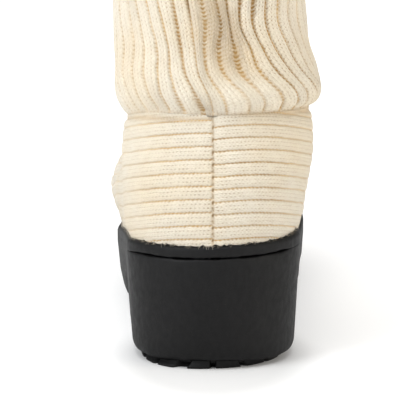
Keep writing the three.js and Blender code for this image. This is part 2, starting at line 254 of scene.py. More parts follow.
# Valleys between the shaft's ribs that are pulled open to ladders: groove, height and reach up and down
SHAFT_LADDERS = table(
    "rib height reach open",
    (-5, 2, 9, 0.4),
    (-4, 2, 10, 0.5),
    (-3, 36, 18, 0.6),
    (-3, 2, 8, 1),
    (-1, 40, 26, 0.9),
    (0, 34, 22, 1),
    (1, 24, 13, 1),
    (1, 54, 12, 0.45),
    (2, 54, 13, 0.5),
    (2, 14, 12, 0.4),
    (3, 52, 12, 0.75),
    (5, 56, 14, 0.4),
    (-14, 90, 40, 0.5),
    (-8, 100, 30, 0.4),
    (-1, 110, 30, 0.6),
    (3, 100, 34, 0.5),
    (12, 80, 40, 0.6),
    (18, 40, 40, 0.5),
)
LADDER_REST = 0.12

# Slack groove along the ankle seam: how deep it is and how much painted shade it holds, where it fades in below
# the seam, and its middle and half width below the seam
ANKLE_SLACK = dict(depth=0.7, shade=0.55, fade=(0.5, 2))
ANKLE_GROOVE = table(
    "x drop half",
    (-46, 2.6, 1.3), (-20, 2.5, 1.2), (-3, 2.1, 0.9), (0, 0.2, 0.5),
    (14, 0.2, 0.6), (28, 0.6, 1), (36, 1.2, 1.4), (46, 1.4, 1.5),
)

# Sole details: lower corner of the block and top of the rim (way in from the edge, height), and the lips of the
# groove between them (way in, height off the groove, more way in where the groove is open). The forefoot's sides
# stand straighter, and its lower corner is rounder and runs further under. At the heel the lower edge hangs down,
# most at the sides, and the tread is as much thinner there.
SOLE_COLUMNS = 420
BLOCK_WALL = dict(top=1.2, shares=(0.15, 0.35, 0.55, 0.75, 0.9))
BLOCK_CORNER = [(5.2, 0), (4.4, 0.25), (3.7, 0.75), (3.2, 1.5), (2.8, 2.5), (2.5, 3.6), (2.3, 5)]
FOREFOOT_CORNER = dict(start=60, end=95, taller=2.3, out=dict(outer=1.1, inner=1.6), under=2.4)
HEEL_HANG = dict(middle=0.5, outer=2.2, inner=2.2, across=(6, 28), end=(10, 33))
RIM_TOP = [(0, 1.4), (0, 2.6), (0, 3.6), (0.25, 4.3), (0.7, 4.75), (1.3, 5)]
GROOVE_LIP = [(3, 0, 0.5), (0.15, 0, 0.9), (0.02, 0.12, 0.45), (0, 0.5, 0.15)]
RIM_GROOVE = dict(width=0.36, wave=0.8, fade=dict(outer=(-20, -4), inner=(-24, -16)))
GROOVE_WAVES = table("size pace start", (0.5, 0.43, 1), (0.3, 1.07, 0), (0.2, 2.3, 2))

# Footbed: its edge (way in, height), and how far its top is trodden down (way in, depth) from the crown
FOOTBED_CROWN = INSOLE - 0.15
FOOTBED_EDGE = [(0.4, 0), (0, 0.4), (0, 2), (0.3, 2.6), (0.9, 2.85)]
FOOTBED_TOP = [(4, 0.3), (9, 0.7), (15, 1.1), (22, 1.3)]

# Treads: rings from the floor up and in under the block, with how deep a notch bites in, and with the share of the
# tread's own plan, which runs on from the block's plan at the top. Notches go by the way round from the round end,
# to the inner side positive.
TREAD_STATIONS = 240
TREAD_SPINE = 24
TREAD_ROWS = table(
    "inset rise bite own",
    (14, 0, 0, 1),
    (6.3, 0, 3, 1),
    (5.7, 0.4, 4.4, 1),
    (5.6, 1.2, 4.8, 0.85),
    (5.6, 2, 4.8, 0.6),
    (5.6, 2.8, 4.8, 0.35),
    (5.6, 3.4, 4.8, 0.2),
    (5.5, 3.9, 1.5, 0.1),
    (5.25, 4.4, 0, 0),
    (8, 1.9, 0, 0),
)
TREAD_GROOVES = dict(depth=1.5, pitch=11, edge=(0.3, 0.7))
TREAD_TIP = 0.012
NOTCH_POWER = 6
NOTCH = "way half slant"
HEEL_TREAD = dict(
    round_end=HEEL_BACK, straight_end=HEEL_BREAST, round=dict(outer=33, inner=36), fullness=2.25, skew=0.13,
    trim=dict(outer=1, inner=1.6), block=dict(round=HEEL_ROUND, fullness=2),
    notches=table(NOTCH, (-28.2, 1, 0.2), (-14.8, 2.9, 0.6), (0, 0.9, 0), (14.6, 1.3, -0.5), (27.4, 1, -0.2),
                  (-40, 1.6, 0), (-54, 1.6, 0), (-68, 1.6, 0), (40, 1.6, 0), (54, 1.6, 0), (68, 1.6, 0)))
FOREFOOT_TREAD = dict(
    round_end=TOE_TIP, straight_end=FOREFOOT_START, round=dict(outer=TOE_ROUND, inner=TOE_ROUND),
    fullness=TOE_FULLNESS, skew=0, trim=dict(outer=2.6, inner=2.6),
    block=dict(round=TOE_ROUND, fullness=TOE_FULLNESS),
    notches=table(NOTCH, *((way, 1.8, 0) for way in range(-154, 155, 14))))

# Shape reading

def read(rows, by, key, place):
    """Smooth reading of a table: a cubic through its rows, flat beyond its ends."""
    at = np.array([row[by] for row in rows], float)
    value = np.array([row[key] for row in rows], float)
    order = np.arange(len(at))
    before = np.maximum(order - 1, 0)
    after = np.minimum(order + 1, len(at) - 1)
    slope = (value[after] - value[before]) / (at[after] - at[before])
    inside = np.clip(place, at[0], at[-1])
    low = np.clip(np.searchsorted(at, inside) - 1, 0, len(at) - 2)
    span = at[low + 1] - at[low]
    t = (inside - at[low]) / span
    change = value[low + 1] - value[low]
    start = slope[low] * span
    end = slope[low + 1] * span
    return value[low] + t * (start + t * (3 * change - 2 * start - end + t * (start + end - 2 * change)))


def ease(value, start, end):
    t = np.clip((value - start) / (end - start), 0, 1)
    return t * t * (3 - 2 * t)


def blend(a, b, t):
    return a + (b - a) * t


def bell(distance, reach):
    return np.exp(-(distance / reach) ** 2)


def seat(y):
    return read(SEAT, "y", "z", y)


def rim_lift(x, y):
    tilt = RIM_TILT * x * (1 - ease(y, *RIM_TILT_END))
    outer = np.clip(-x / WAIST_SWELL["across"], 0, 1)
    swell = WAIST_SWELL["lift"] * outer * bell(y - WAIST_SWELL["y"], WAIST_SWELL["reach"])
    corner = ease(-x, *CORNER_DIP["across"]) * bell(y - CORNER_DIP["y"], CORNER_DIP["reach"])
    return tilt + swell - CORNER_DIP["drop"] * corner


def underside(y):
    arch = ease(y, HEEL_BREAST, ARCH_BACK) * (1 - ease(y, ARCH_FRONT, FOREFOOT_START))
    curl = np.maximum(0, (y - SPRING_START) / (TOE_TIP - SPRING_START))
    return ARCH_RISE * arch + TOE_SPRING * curl ** 2


def toe_axis(y):
    return TOE_SWING * np.maximum(0, (y - SWING_START) / (TOE_TIP - SWING_START)) ** 2


def round_ends(from_back, from_tip, back_round, front_round):
    back = np.maximum(0, 1 - from_back / back_round)
    tip = np.maximum(0, 1 - from_tip / front_round)
    back_share = np.sqrt(np.maximum(0, 1 - back ** 2))
    tip_share = np.maximum(0, 1 - tip ** TOE_FULLNESS) ** (1 / TOE_FULLNESS)
    return back_share * tip_share


def by_side(side, outer, inner):
    return np.where(side < 0, outer, inner)


def of_side(side, pair):
    return by_side(side, pair["outer"], pair["inner"])


def sole_edge(s, side, inset):
    y = blend(HEEL_BACK + inset, TOE_TIP - inset, s)
    half = by_side(side, read(SOLE_PLAN, "y", "outer", y), read(SOLE_PLAN, "y", "inner", y)) - inset
    share = round_ends(y - HEEL_BACK - inset, TOE_TIP - inset - y, HEEL_ROUND, TOE_ROUND)
    return toe_axis(y) + side * half * share, y


def loop_point(rows, by, place, s, side, grow=0):
    size = {key: read(rows, by, key, place) for key in LOOP_SIZES.split()}
    back = size["back"] - grow
    front = size["front"] + grow
    y = blend(back, front, s)
    heel = by_side(side, size["outer"], size["inner"])
    ball = by_side(side, size["ball_outer"], size["ball_inner"])
    half = blend(heel, ball, ease(s, size["ball_start"], BALL_FULL)) + grow
    share = round_ends(y - back, front - y, size["back_round"], size["front_round"])
    return toe_axis(y) + side * half * share, y


def upper_point(s, side, rise):
    x, y = loop_point(UPPER_LOOPS, "rise", rise, s, side)
    front_rise = read(UPPER_LOOPS, "rise", "front_rise", rise)
    dip = of_side(side, SEAM_DIP) * (rise / JOIN_RISE) ** 2
    lift = blend(rise, front_rise, s ** FRONT_CLIMB) - dip * np.sin(np.pi * s) ** 2
    rim = rim_lift(x, y) * (1 - ease(rise, 0, RIM_LIFT_RISE))
    return np.stack(np.broadcast_arrays(x, y, seat(y) + GAP + lift + rim), axis=-1)


def join_height(s, side):
    return upper_point(s, side, JOIN_RISE)[..., 2] + GAP


MEAN_JOIN = float(join_height(np.array(0.5), np.array(1.0)))


def shaft_point(s, side, step):
    x, y = loop_point(SHAFT_LOOPS, "step", step, s, side)
    height = read(SHAFT_LOOPS, "step", "height", step)
    z = height + blend(join_height(s, side), MEAN_JOIN, ease(height, 0, SHAFT_SETTLE))
    return np.stack(np.broadcast_arrays(x, y, z), axis=-1)


# Rings and meshes

def unit(vectors):
    return vectors / np.maximum(np.linalg.norm(vectors, axis=-1, keepdims=True), TINY)


def way_along(steps):
    """Way from the start of a path to the end of each of its steps."""
    return np.concatenate([[0], np.cumsum(steps)])


def even_ring(point_at, columns):
    """Stations s and sides of a ring with even steps along it, from the back by the inner side."""
    fine = (1 - np.cos(np.linspace(0, np.pi, RING_STEPS))) / 2
    half = columns // 2
    stations = []
    for side in (1.0, -1.0):
        path = point_at(fine, np.full_like(fine, side))
        length = way_along(np.linalg.norm(np.diff(path, axis=0), axis=1))
        stations.append(np.interp(np.linspace(0, length[-1], half + 1), length, fine))
    s = np.concatenate([stations[0][:-1], stations[1][::-1][:-1]])
    side = np.concatenate([np.ones(half), -np.ones(half)])
    return s, side


def grid_normals(points):
    """Outward unit normals of a grid of rings that run from the back by the inner side."""
    along = np.roll(points, -1, axis=1) - np.roll(points, 1, axis=1)
    up = np.gradient(points, axis=0)
    return unit(np.cross(along, up))


def ring_faces(rows, columns, closed):
    bands = rows if closed else rows - 1
    row = np.arange(bands)[:, None]
    column = np.arange(columns)[None, :]
    upper_row = (row + 1) % rows
    next_column = (column + 1) % columns
    corners = (row * columns + column, row * columns + next_column,
               upper_row * columns + next_column, upper_row * columns + column)
    return np.stack(np.broadcast_arrays(*corners), axis=-1).reshape(-1, 4)


def corner_values(low):
    """Values of a grid with one spare column, at the corners of closed ring_faces."""
    high = np.roll(low, -1, axis=0)
    return np.stack([low[:, :-1], low[:, 1:], high[:, 1:], high[:, :-1]], axis=2).reshape(-1, low.shape[-1])


def add(name, data):
    thing = bpy.data.objects.new(name, data)
    bpy.context.scene.collection.objects.link(thing)
    return thing


def make_mesh(name, points, faces, uv=None, marks=None):
    mesh = bpy.data.meshes.new(name)
    mesh.from_pydata((np.asarray(points, float) * MM).tolist(), [], [list(face) for face in faces])
    if uv is not None:
        layer = mesh.uv_layers.new(name="knit")
        layer.data.foreach_set("uv", np.asarray(uv, np.float32).ravel())
    for mark, values in (marks or {}).items():
        attribute = mesh.attributes.new(mark, "FLOAT", "POINT")
        attribute.data.foreach_set("value", np.asarray(values, np.float32).ravel())
    mesh.polygons.foreach_set("use_smooth", np.full(len(mesh.polygons), True))
    mesh.update()
    mesh.validate()
    return add(name, mesh)


def place(piece, material, slot, *nodes):
    piece.data.materials.append(material)
    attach(piece, "root")
    if nodes:
        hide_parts(*nodes)


# Knit shapes

def rib_relief(phase, open_share, rib):
    """Height against the crowns: a groove at each whole number, crowned ribs between."""
    across = np.abs(phase - np.round(phase))
    groove = bell(across, GROOVE_SPREAD * blend(GROOVE_HALF, LADDER_HALF, open_share))
    return -rib["depth"] * (1 + LADDER_DEEPER * open_share) * groove - rib["crown"] * (1 - 2 * across) ** 2


def upper_phase(points, side):
    """Number of the rib at points of the foot."""
    x, y, z = np.moveaxis(points, -1, 0)
    level = math.cos(math.atan(RIB_FALL)) * (z - SEAT[0]["z"] + RIB_FALL * (y - HEEL_BACK))
    outer, inner = RIB_DROOP["outer"], RIB_DROOP["inner"]
    inner_share = np.sin(np.pi * np.clip(x / inner["across"], 0, 1))
    droop = by_side(side, outer["depth"] * (x / outer["across"]) ** 2, -inner["depth"] * inner_share)
    at_heel = (level + droop - of_side(side, HEEL_RIBS["first"])) / of_side(side, HEEL_RIBS["pitch"])
    over_spine = z - read(RIB_SPINE, "y", "z", y)
    turn = np.arctan2(over_spine, np.abs(x - toe_axis(y)))
    at_vamp = SIDE_RIBS + (VAMP_RIBS - SIDE_RIBS) * turn / (np.pi / 2)
    return blend(at_heel, at_vamp, ease(y, *SIDE_BLEND))


def ankle_groove(points, under_join):
    """Share of the loose groove along the ankle seam at points this far below the seam, for its depth and painted
    shade.
    """
    x = points[..., 0]
    drop = read(ANKLE_GROOVE, "x", "drop", x)
    half = read(ANKLE_GROOVE, "x", "half", x)
    return bell(under_join - drop, half)


def upper_painted_shade_strength(points, side):
    """Painted light: the painted shade of grooves and pits fades towards the sides, most on the outer side."""
    x = np.abs(points[..., 0])
    fade = {edge: row["share"] * ease(x, *row["across"]) for edge, row in SIDE_PAINTED_LIGHT.items()}
    return 1 - of_side(side, fade)


def upper_courses(points):
    """Stitches counted along the ribs from the centre back."""
    x, y, z = np.moveaxis(points, -1, 0)
    turn = np.arctan2(np.abs(x), HEEL_CENTRE - np.minimum(y, HEEL_CENTRE))
    length = HEEL_RADIUS * turn + np.maximum(y - HEEL_CENTRE, 0)
    over_toe = ease(y, TOE_WRAP["start"], TOE_TIP) * np.maximum(0, TOE_WRAP["height"] - z)
    return (length + over_toe) / COURSE


def knit_wall(name, outside, inside, phase, courses, marks):
    """Closed wall from rings that run up its outside and down its inside, with the stitch chart as UV.
    phase and courses have one spare column, where the ring closes."""
    points = np.concatenate([outside, inside[::-1]])
    rows, columns = points.shape[:2]
    chart = np.stack([courses, phase], axis=-1)
    picks = np.linspace(len(chart) - 1, 0, len(inside)).round().astype(int)
    chart = np.concatenate([chart, chart[picks]])
    spread = {}
    for mark, grid in marks.items():
        spread[mark] = np.concatenate([grid, grid[picks]])
    faces = ring_faces(rows, columns, True)
    uv = corner_values(chart)
    return make_mesh(name, points.reshape(-1, 3), faces, uv, spread)


def spare_column(grid, last):
    return np.concatenate([grid, last[:, None]], axis=1)


def build_upper():
    s, side = even_ring(lambda s, side: upper_point(s, side, UPPER_GRID["even_at"]), UPPER_GRID["columns"])
    rises = np.linspace(0, JOIN_RISE, UPPER_GRID["rows"])
    smooth = upper_point(s[None, :], side[None, :], rises[:, None])
    normals = grid_normals(smooth)
    sides = np.broadcast_to(side, smooth.shape[:2])
    phase = upper_phase(smooth, sides)
    sway = BACK_SEAM["sway"] * np.sin(2 * np.pi * phase[:, :1])
    from_seam = np.linalg.norm(smooth - smooth[:, :1] - sway[..., None] * [1, 0, 0], axis=2)
    seam = bell(from_seam, BACK_SEAM["half"])
    shoulder = bell(from_seam, BACK_SEAM["reach"])
    under_join = smooth[-1:, :, 2] - smooth[..., 2]
    slack_and_painted_shade = ankle_groove(smooth, under_join)
    ladder = np.zeros_like(phase)
    flat = 1 - SIDE_FLAT["share"] * ease(np.abs(smooth[..., 0]), *SIDE_FLAT["across"])
    ribs = rib_relief(phase, ladder, FOOT_RIB) * flat * (1 - slack_and_painted_shade) - ANKLE_SLACK["depth"] * slack_and_painted_shade
    ribs *= ease(under_join, *ANKLE_SLACK["fade"])
    relief = blend(ribs, -BACK_SEAM["depth"], seam) - BACK_SEAM["shoulder"] * shoulder
    edge = ease(rises, 0, EDGE_RISE["upper"])[:, None]
    outside = smooth + normals * (relief * edge)[..., None]
    teeth = RAGGED_EDGE["lift"] * np.random.default_rng(SEED).random(len(s)) ** 2
    outside[..., 2] += teeth * (1 - ease(rises, 0, RAGGED_EDGE["fade"]))[:, None]
    inner_rises = np.linspace(0, JOIN_RISE, UPPER_GRID["inside"])
    inner = upper_point(s[None, :], side[None, :], inner_rises[:, None])
    inner_phase = upper_phase(inner, np.broadcast_to(side, inner.shape[:2]))
    inner_relief = INSIDE_RIBS * rib_relief(inner_phase, 0.0, FOOT_RIB)
    inside = inner + grid_normals(inner) * (inner_relief - WALL)[..., None]
    last_phase = upper_phase(smooth[:, 0], np.full(len(rises), -1.0))
    phase = spare_column(phase, last_phase)
    courses = upper_courses(smooth)
    courses = spare_column(courses, courses[:, 0])
    knots = blend(BACK_SEAM["plain"], 1, bell(phase - np.round(phase), BACK_SEAM["knot"])[:, :-1])
    # Marks for the material: the back seam's tone, ladders, painted shade in the ankle groove, and the strength of
    # painted shade in grooves and pits
    marks = dict(hollow=seam * knots, open=ladder, slack_and_painted_shade=ANKLE_SLACK["shade"] * slack_and_painted_shade,
                 tint=upper_painted_shade_strength(smooth, sides))
    return knit_wall("knit_upper", outside, inside, phase, courses, marks)


def build_fray():
    """Loose fibres along the knit's lower edge, each a thin bent blade."""
    rng = np.random.default_rng(SEED)
    count = FRAY["count"]
    s = (1 - np.cos(np.pi * rng.random(count))) / 2
    side = rng.choice([-1.0, 1.0], count)
    rise = rng.uniform(*FRAY["rise"], count)
    step = 0.002
    root = upper_point(s, side, rise)
    before, after = (upper_point(np.clip(s + way, 0, 1), side, rise) for way in (-step, step))
    ahead = unit(after - before)
    out = unit(np.cross(ahead, [0, 0, 1]) * side[:, None])
    length = rng.uniform(*FRAY["length"], count)[:, None]
    drop = rng.uniform(*FRAY["drop"], count)[:, None] * [0, 0, -1]
    lean = ahead * rng.uniform(*FRAY["lean"], count)[:, None]
    across = (ahead + FRAY["twist"] * out) * FRAY["half"]
    blades = []
    for share in np.linspace(0, 1, FRAY["steps"]):
        bend = FRAY["out"] * out * share + lean * share + drop * share ** 2
        spine = root - FRAY["root"] * out + length * bend
        width = across * (1 - FRAY["taper"] * share)
        blades += [spine - width, spine + width]
    points = np.stack(blades, axis=1)
    first = len(blades) * np.arange(count)[:, None]
    faces = np.concatenate([first + np.array([k, k + 1, k + 3, k + 2]) for k in range(0, len(blades) - 2, 2)])
    return make_mesh("knit_fray", points.reshape(-1, 3), faces.tolist())


def shaft_turns(columns):
    """Turn from the back in degrees, to the inner side positive, at each column and where the ring closes."""
    turn = np.arange(columns + 1) * 360 / columns
    return np.where(turn > 180, turn - 360, turn)


def shaft_phase(turns, tall):
    """Number of the shaft rib at a grid of turns, each row of it at one height over the ankle seam."""
    numbers = sorted(SHAFT_GROOVES)
    height = np.clip(tall[:, 0], GROOVE_HEIGHTS[0], GROOVE_HEIGHTS[-1])
    chart = [[dict(height=at, turn=turn) for at, turn in zip(GROOVE_HEIGHTS, SHAFT_GROOVES[number])]
             for number in numbers]
    paths = np.stack([read(path, "height", "turn", height) for path in chart], axis=1)
    return np.stack([np.interp(row, path, numbers) for row, path in zip(turns, paths)])


def ladder_share(groove, height):
    """How far each valley is pulled open, by the number of its groove and the height."""
    share = np.full_like(groove, LADDER_REST)
    for row in SHAFT_LADDERS:
        here = row["open"] * bell(height - row["height"], row["reach"])
        share = np.where(groove == row["rib"], np.maximum(share, here), share)
    return share


def fold_relief(turn, height):
    total = np.zeros_like(turn)
    for fold in SHAFT_FOLDS:
        middle = fold["turn"] + fold["lean"] * (height - fold["height"])
        away = (turn - middle + 180) % 360 - 180
        total += fold["depth"] * bell(away, fold["round"]) * bell(height - fold["height"], fold["up"])
    return total


def build_shaft():
    s, side = even_ring(lambda s, side: shaft_point(s, side, SHAFT_GRID["even_at"]), SHAFT_GRID["columns"])
    top = SHAFT_LOOPS[-1]["step"]
    fine = np.linspace(0, top, RISE_STEPS)
    heights = read(SHAFT_LOOPS, "step", "height", fine)
    girth = read(SHAFT_LOOPS, "step", "outer", fine)
    length = way_along(np.hypot(np.diff(heights), np.diff(girth)))
    steps = np.interp(np.linspace(0, length[-1], SHAFT_GRID["rows"]), length, fine)
    smooth = shaft_point(s[None, :], side[None, :], steps[:, None])
    normals = grid_normals(smooth)
    height = np.interp(steps, fine, heights)[:, None]
    turn = shaft_turns(len(s))
    turns, tall = np.broadcast_arrays(turn[None, :], height)
    phase = shaft_phase(turns, tall)
    phase[:, -1] = phase[:, 0]
    folds = fold_relief(turns, tall)
    seam = bell(phase - SHAFT_SEAM["rib"], SHAFT_SEAM["half"]) * ease(tall, *SHAFT_SEAM["rise"])
    ladder = ladder_share(np.round(phase), tall)
    felted = (1 - FELTED["keep"]) * bell(turns - FELTED["turn"], FELTED["round"])
    felted = felted * bell(tall - FELTED["height"], FELTED["up"])
    strength = read(SHAFT_STRENGTH, "rib", "depth", phase) * (1 - felted)
    tint = read(SHAFT_STRENGTH, "rib", "tint", phase) * (1 - felted)
    relief = rib_relief(phase, ladder, SHAFT_RIB) * strength + folds - SHAFT_SEAM["depth"] * seam
    edge = ease(tall, 0, EDGE_RISE["shaft"])
    outside = smooth + normals * (relief * edge)[:, :-1, None]
    lip = smooth[:1] + normals[:1] * [1, 1, 0] * ANKLE_LIP["proud"] - [0, 0, ANKLE_LIP["drop"]]
    under_lip = smooth[:1] - [0, 0, ANKLE_LIP["under"]]
    inner_steps = np.interp(np.linspace(0, length[-1], SHAFT_GRID["inside"]), length, fine)
    inner = shaft_point(s[None, :], side[None, :], inner_steps[:, None])
    inner_height = np.interp(inner_steps, fine, heights)[:, None]
    inner_turns, inner_tall = np.broadcast_arrays(turn[None, :-1], inner_height)
    inner_phase = shaft_phase(inner_turns, inner_tall)
    inner_relief = fold_relief(inner_turns, inner_tall) + INSIDE_RIBS * rib_relief(inner_phase, 0.0, SHAFT_RIB)
    inside = inner + grid_normals(inner) * (inner_relief - WALL)[..., None]
    turning = np.argmin(np.diff(phase[0]))
    phase[:, turning + 1:] += max(SHAFT_GROOVES) - min(SHAFT_GROOVES)
    up = way_along(np.linalg.norm(np.diff(smooth, axis=0), axis=2).mean(axis=1))
    courses = np.broadcast_to(up[:, None], phase.shape) / COURSE
    outside = np.concatenate([under_lip, lip, outside])
    # The seam's tone on the shaft: partly its own, partly painted shade in its crease and under the lap
    seam_tone_and_shade = np.maximum(SHAFT_SEAM["tone"] * seam, ANKLE_LIP["tone"] * bell(tall, ANKLE_LIP["reach"]))
    # Painted shade: the deeper a fold's trough, the more of the grooves' tone it gets
    slack_and_painted_shade = FOLD_PAINTED_SHADE["share"] * np.clip(-folds / FOLD_PAINTED_SHADE["full"], 0, 1)
    marks = dict(hollow=seam_tone_and_shade, open=ladder, tint=tint, slack_and_painted_shade=slack_and_painted_shade)
    twice_first = [0, 0, *range(len(phase))]
    marks = {mark: grid[twice_first, :-1] for mark, grid in marks.items()}
    return knit_wall("knit_shaft", outside, inside, phase[twice_first], courses[twice_first], marks)


# Sole shapes

def slab(name, levels):
    """Solid from rings that lie over each other, closed below and above."""
    columns = SOLE_COLUMNS
    s, side = even_ring(lambda s, side: np.stack([*sole_edge(s, side, 0), 0 * s], axis=-1), columns)
    rings = np.stack([level(s, side) for level in levels])
    rows = len(rings)
    faces = ring_faces(rows, columns, False).tolist()
    half = columns // 2
    for i in range(half):
        a, b = i, i + 1
        d, c = (columns - i) % columns, columns - i - 1
        cap = [a, b, c, d] if a != d and b != c else ([a, b, c] if a == d else [a, b, d])
        faces.append(cap[::-1])
        faces.append([(rows - 1) * columns + index for index in cap])
    return make_mesh(name, rings.reshape(-1, 3), faces)


def heel_hang(x, y):
    """How far the block's lower edge hangs down over the heel's tread."""
    share = ease(np.abs(x), *HEEL_HANG["across"])
    return blend(HEEL_HANG["middle"], of_side(x, HEEL_HANG), share) * (1 - ease(y, *HEEL_HANG["end"]))


def over_floor(inset, rise):
    def level(s, side):
        x, y = sole_edge(s, side, inset)
        forefoot = ease(y, FOREFOOT_CORNER["start"], FOREFOOT_CORNER["end"])
        out = of_side(side, FOREFOOT_CORNER["out"])
        shift = blend(-FOREFOOT_CORNER["under"], out, math.sqrt(rise / BLOCK_CORNER[-1][1]))
        x = x + side * shift * forefoot * (1 - ease(y, SPRING_START, TOE_TIP))
        tall = blend(1, FOREFOOT_CORNER["taller"], forefoot)
        return np.stack([x, y, underside(y) + TREAD + GAP + rise * tall - heel_hang(x, y)], axis=-1)
    return level


def groove_share(y, side):
    """The groove under the rim runs round the heel and fades out at its sides."""
    return 1 - of_side(side, {edge: ease(y, *ends) for edge, ends in RIM_GROOVE["fade"].items()})


def groove_wave(x):
    """Uneven width of the groove, from -1 to 1."""
    return sum(wave["size"] * np.sin(wave["pace"] * x + wave["start"]) for wave in GROOVE_WAVES)


def under_seat(inset, drop, groove_inset=0, groove_drop=0):
    """Ring this far in and below the sole's top, with more of both where the groove is."""
    def level(s, side):
        x, y = sole_edge(s, side, inset)
        share = groove_share(y, side)
        x, y = sole_edge(s, side, inset + groove_inset * share)
        opened = groove_drop * share * (1 + RIM_GROOVE["wave"] * groove_wave(x))
        return np.stack([x, y, seat(y) + rim_lift(x, y) - drop - opened], axis=-1)
    return level


def wall_level(low, high, share):
    def level(s, side):
        return blend(low(s, side), high(s, side), share)
    return level


def build_block():
    levels = [over_floor(inset, rise) for inset, rise in BLOCK_CORNER]
    low = levels[-1]
    width = RIM_GROOVE["width"]
    high = under_seat(0, MIDSOLE + GAP + BLOCK_WALL["top"], 0, width)
    levels += [wall_level(low, high, share) for share in BLOCK_WALL["shares"]] + [high]
    levels += [under_seat(inset, MIDSOLE + GAP + off, way, width) for inset, off, way in reversed(GROOVE_LIP)]
    return slab("rubber_block", levels)


def build_rim():
    levels = [under_seat(inset, MIDSOLE + GAP - off, way, -GAP) for inset, off, way in GROOVE_LIP]
    levels += [under_seat(inset, MIDSOLE - rise) for inset, rise in RIM_TOP]
    return slab("rubber_rim", levels)


def on_seat(inset, lift, hollow=0):
    """Ring of the footbed, this far in from the knit's inside and over the sole's top."""
    def level(s, side):
        x, y = loop_point(UPPER_LOOPS, "rise", 0.0, s, side, -WALL - 2 * GAP - inset)
        return np.stack([x, y, seat(y) + GAP + lift - hollow * np.sin(np.pi * s)], axis=-1)
    return level


def build_footbed():
    levels = [on_seat(inset, lift) for inset, lift in FOOTBED_EDGE]
    levels += [on_seat(inset, FOOTBED_CROWN, hollow) for inset, hollow in FOOTBED_TOP]
    return slab("cloth_footbed", levels)


def pulse(distance, half):
    return np.exp(-(distance / half) ** NOTCH_POWER)


def tread_outline(inset, own, tread, side):
    """Plan of a tread on one side, from its round end to its straight one."""
    t = 1 - np.cos(np.linspace(0, np.pi / 2, TREAD_STATIONS))
    start = tread["round_end"] + inset * np.sign(tread["straight_end"] - tread["round_end"])
    y = blend(start, tread["straight_end"], t)
    edge = "outer" if side < 0 else "inner"
    half = read(SOLE_PLAN, "y", edge, y) - inset - own * tread["trim"][edge]
    fullness = blend(tread["block"]["fullness"], tread["fullness"], own)
    from_end = np.abs(y - start)
    bend = np.maximum(0, 1 - from_end / blend(tread["block"]["round"], tread["round"][edge], own))
    share = np.maximum(TREAD_TIP, np.maximum(0, 1 - bend ** fullness) ** (1 / fullness))
    x = toe_axis(y) + side * half * share
    return np.stack([x, y + own * tread["skew"] * x * (1 - from_end / from_end[-1])], axis=-1)


def tread_side(ring, tread, side):
    """One side of a ring round a tread, with its notches bitten in."""
    rise = ring["rise"]
    plan = tread_outline(ring["inset"], ring["own"], tread, side)
    way = way_along(np.linalg.norm(np.diff(plan, axis=0), axis=1))
    notch = np.zeros_like(way)
    for row in tread["notches"]:
        notch = np.maximum(notch, pulse(way - side * (row["way"] + row["slant"] * rise), row["half"]))
    ends = sorted((tread["round_end"], tread["straight_end"]))
    spine_y = np.clip(plan[:, 1], ends[0] + TREAD_SPINE, ends[1] - TREAD_SPINE)
    inward = unit(np.stack([toe_axis(spine_y), spine_y], axis=-1) - plan)
    hang = heel_hang(*plan.T) * rise / (TREAD + GAP)
    plan = plan + inward * (notch * ring["bite"])[:, None]
    return np.column_stack([plan, underside(plan[:, 1]) + rise - hang])


def build_tread(name, tread):
    """Slab with notched edges and grooves across its underside."""
    rings = []
    for ring in TREAD_ROWS:
        inner = tread_side(ring, tread, 1)
        outer = tread_side(ring, tread, -1)
        rings.append(np.concatenate([inner, outer[::-1]]))
    rings = np.array(rings)
    rows, columns = rings.shape[:2]
    beat = np.cos(2 * np.pi * rings[0, :, 1] / TREAD_GROOVES["pitch"])
    rings[0, :, 2] += TREAD_GROOVES["depth"] * ease(beat, *TREAD_GROOVES["edge"])
    clockwise = tread["straight_end"] < tread["round_end"]
    faces = ring_faces(rows, columns, False)
    if clockwise:
        faces = faces[:, ::-1]
    faces = faces.tolist()
    for i in range(TREAD_STATIONS - 1):
        cap = [i, i + 1, columns - 2 - i, columns - 1 - i]
        if clockwise:
            cap = cap[::-1]
        faces.append(cap[::-1])
        faces.append([(rows - 1) * columns + index for index in cap])
    return make_mesh(name, rings.reshape(-1, 3), faces)


# Materials. Noise scales are per metre, and bump distances are metres. Two or four numbers together are the ends
# of a soft step and what it gives at them, which is 0 and 1 where it isn't said.

WAVER = dict(scale=260.0, rib=0.12, course=0.6)
SHIVER = dict(scale=800.0, rib=0.05)
RAGGED = dict(scale=900.0, spread=1.2, least=0.4)
STITCH = dict(arm=1.35, skew=0.22, leg_round=0.6, wale_round=0.55, middle=(0.0, 0.16, 0.62, 1.0))
# Pits: painted shade between the stitch legs
PIT = dict(edge=(0.18, 0.46), middle=(0.0, 0.14, 0.4, 0.0), legs=(0.25, 0.97, 1.0, 0.12),
           chance=(0.0, 0.9, 0.1, 0.8))
# Rungs: paler over the ladder's painted shade, and raised
RUNG = dict(fall=-2.0, beat=(-0.7, 0.5), luck=(0.0, 1.0, 0.4, 1.0), pale=-0.6, height=0.8)
DASH = dict(scale=70.0, beat=(-1.0, 1.0, 1.0, 0.6), cloud=(0.3, 0.65, 0.7, 1.0))
PALE = dict(scale=24.0, warm=(0.3, 0.7))
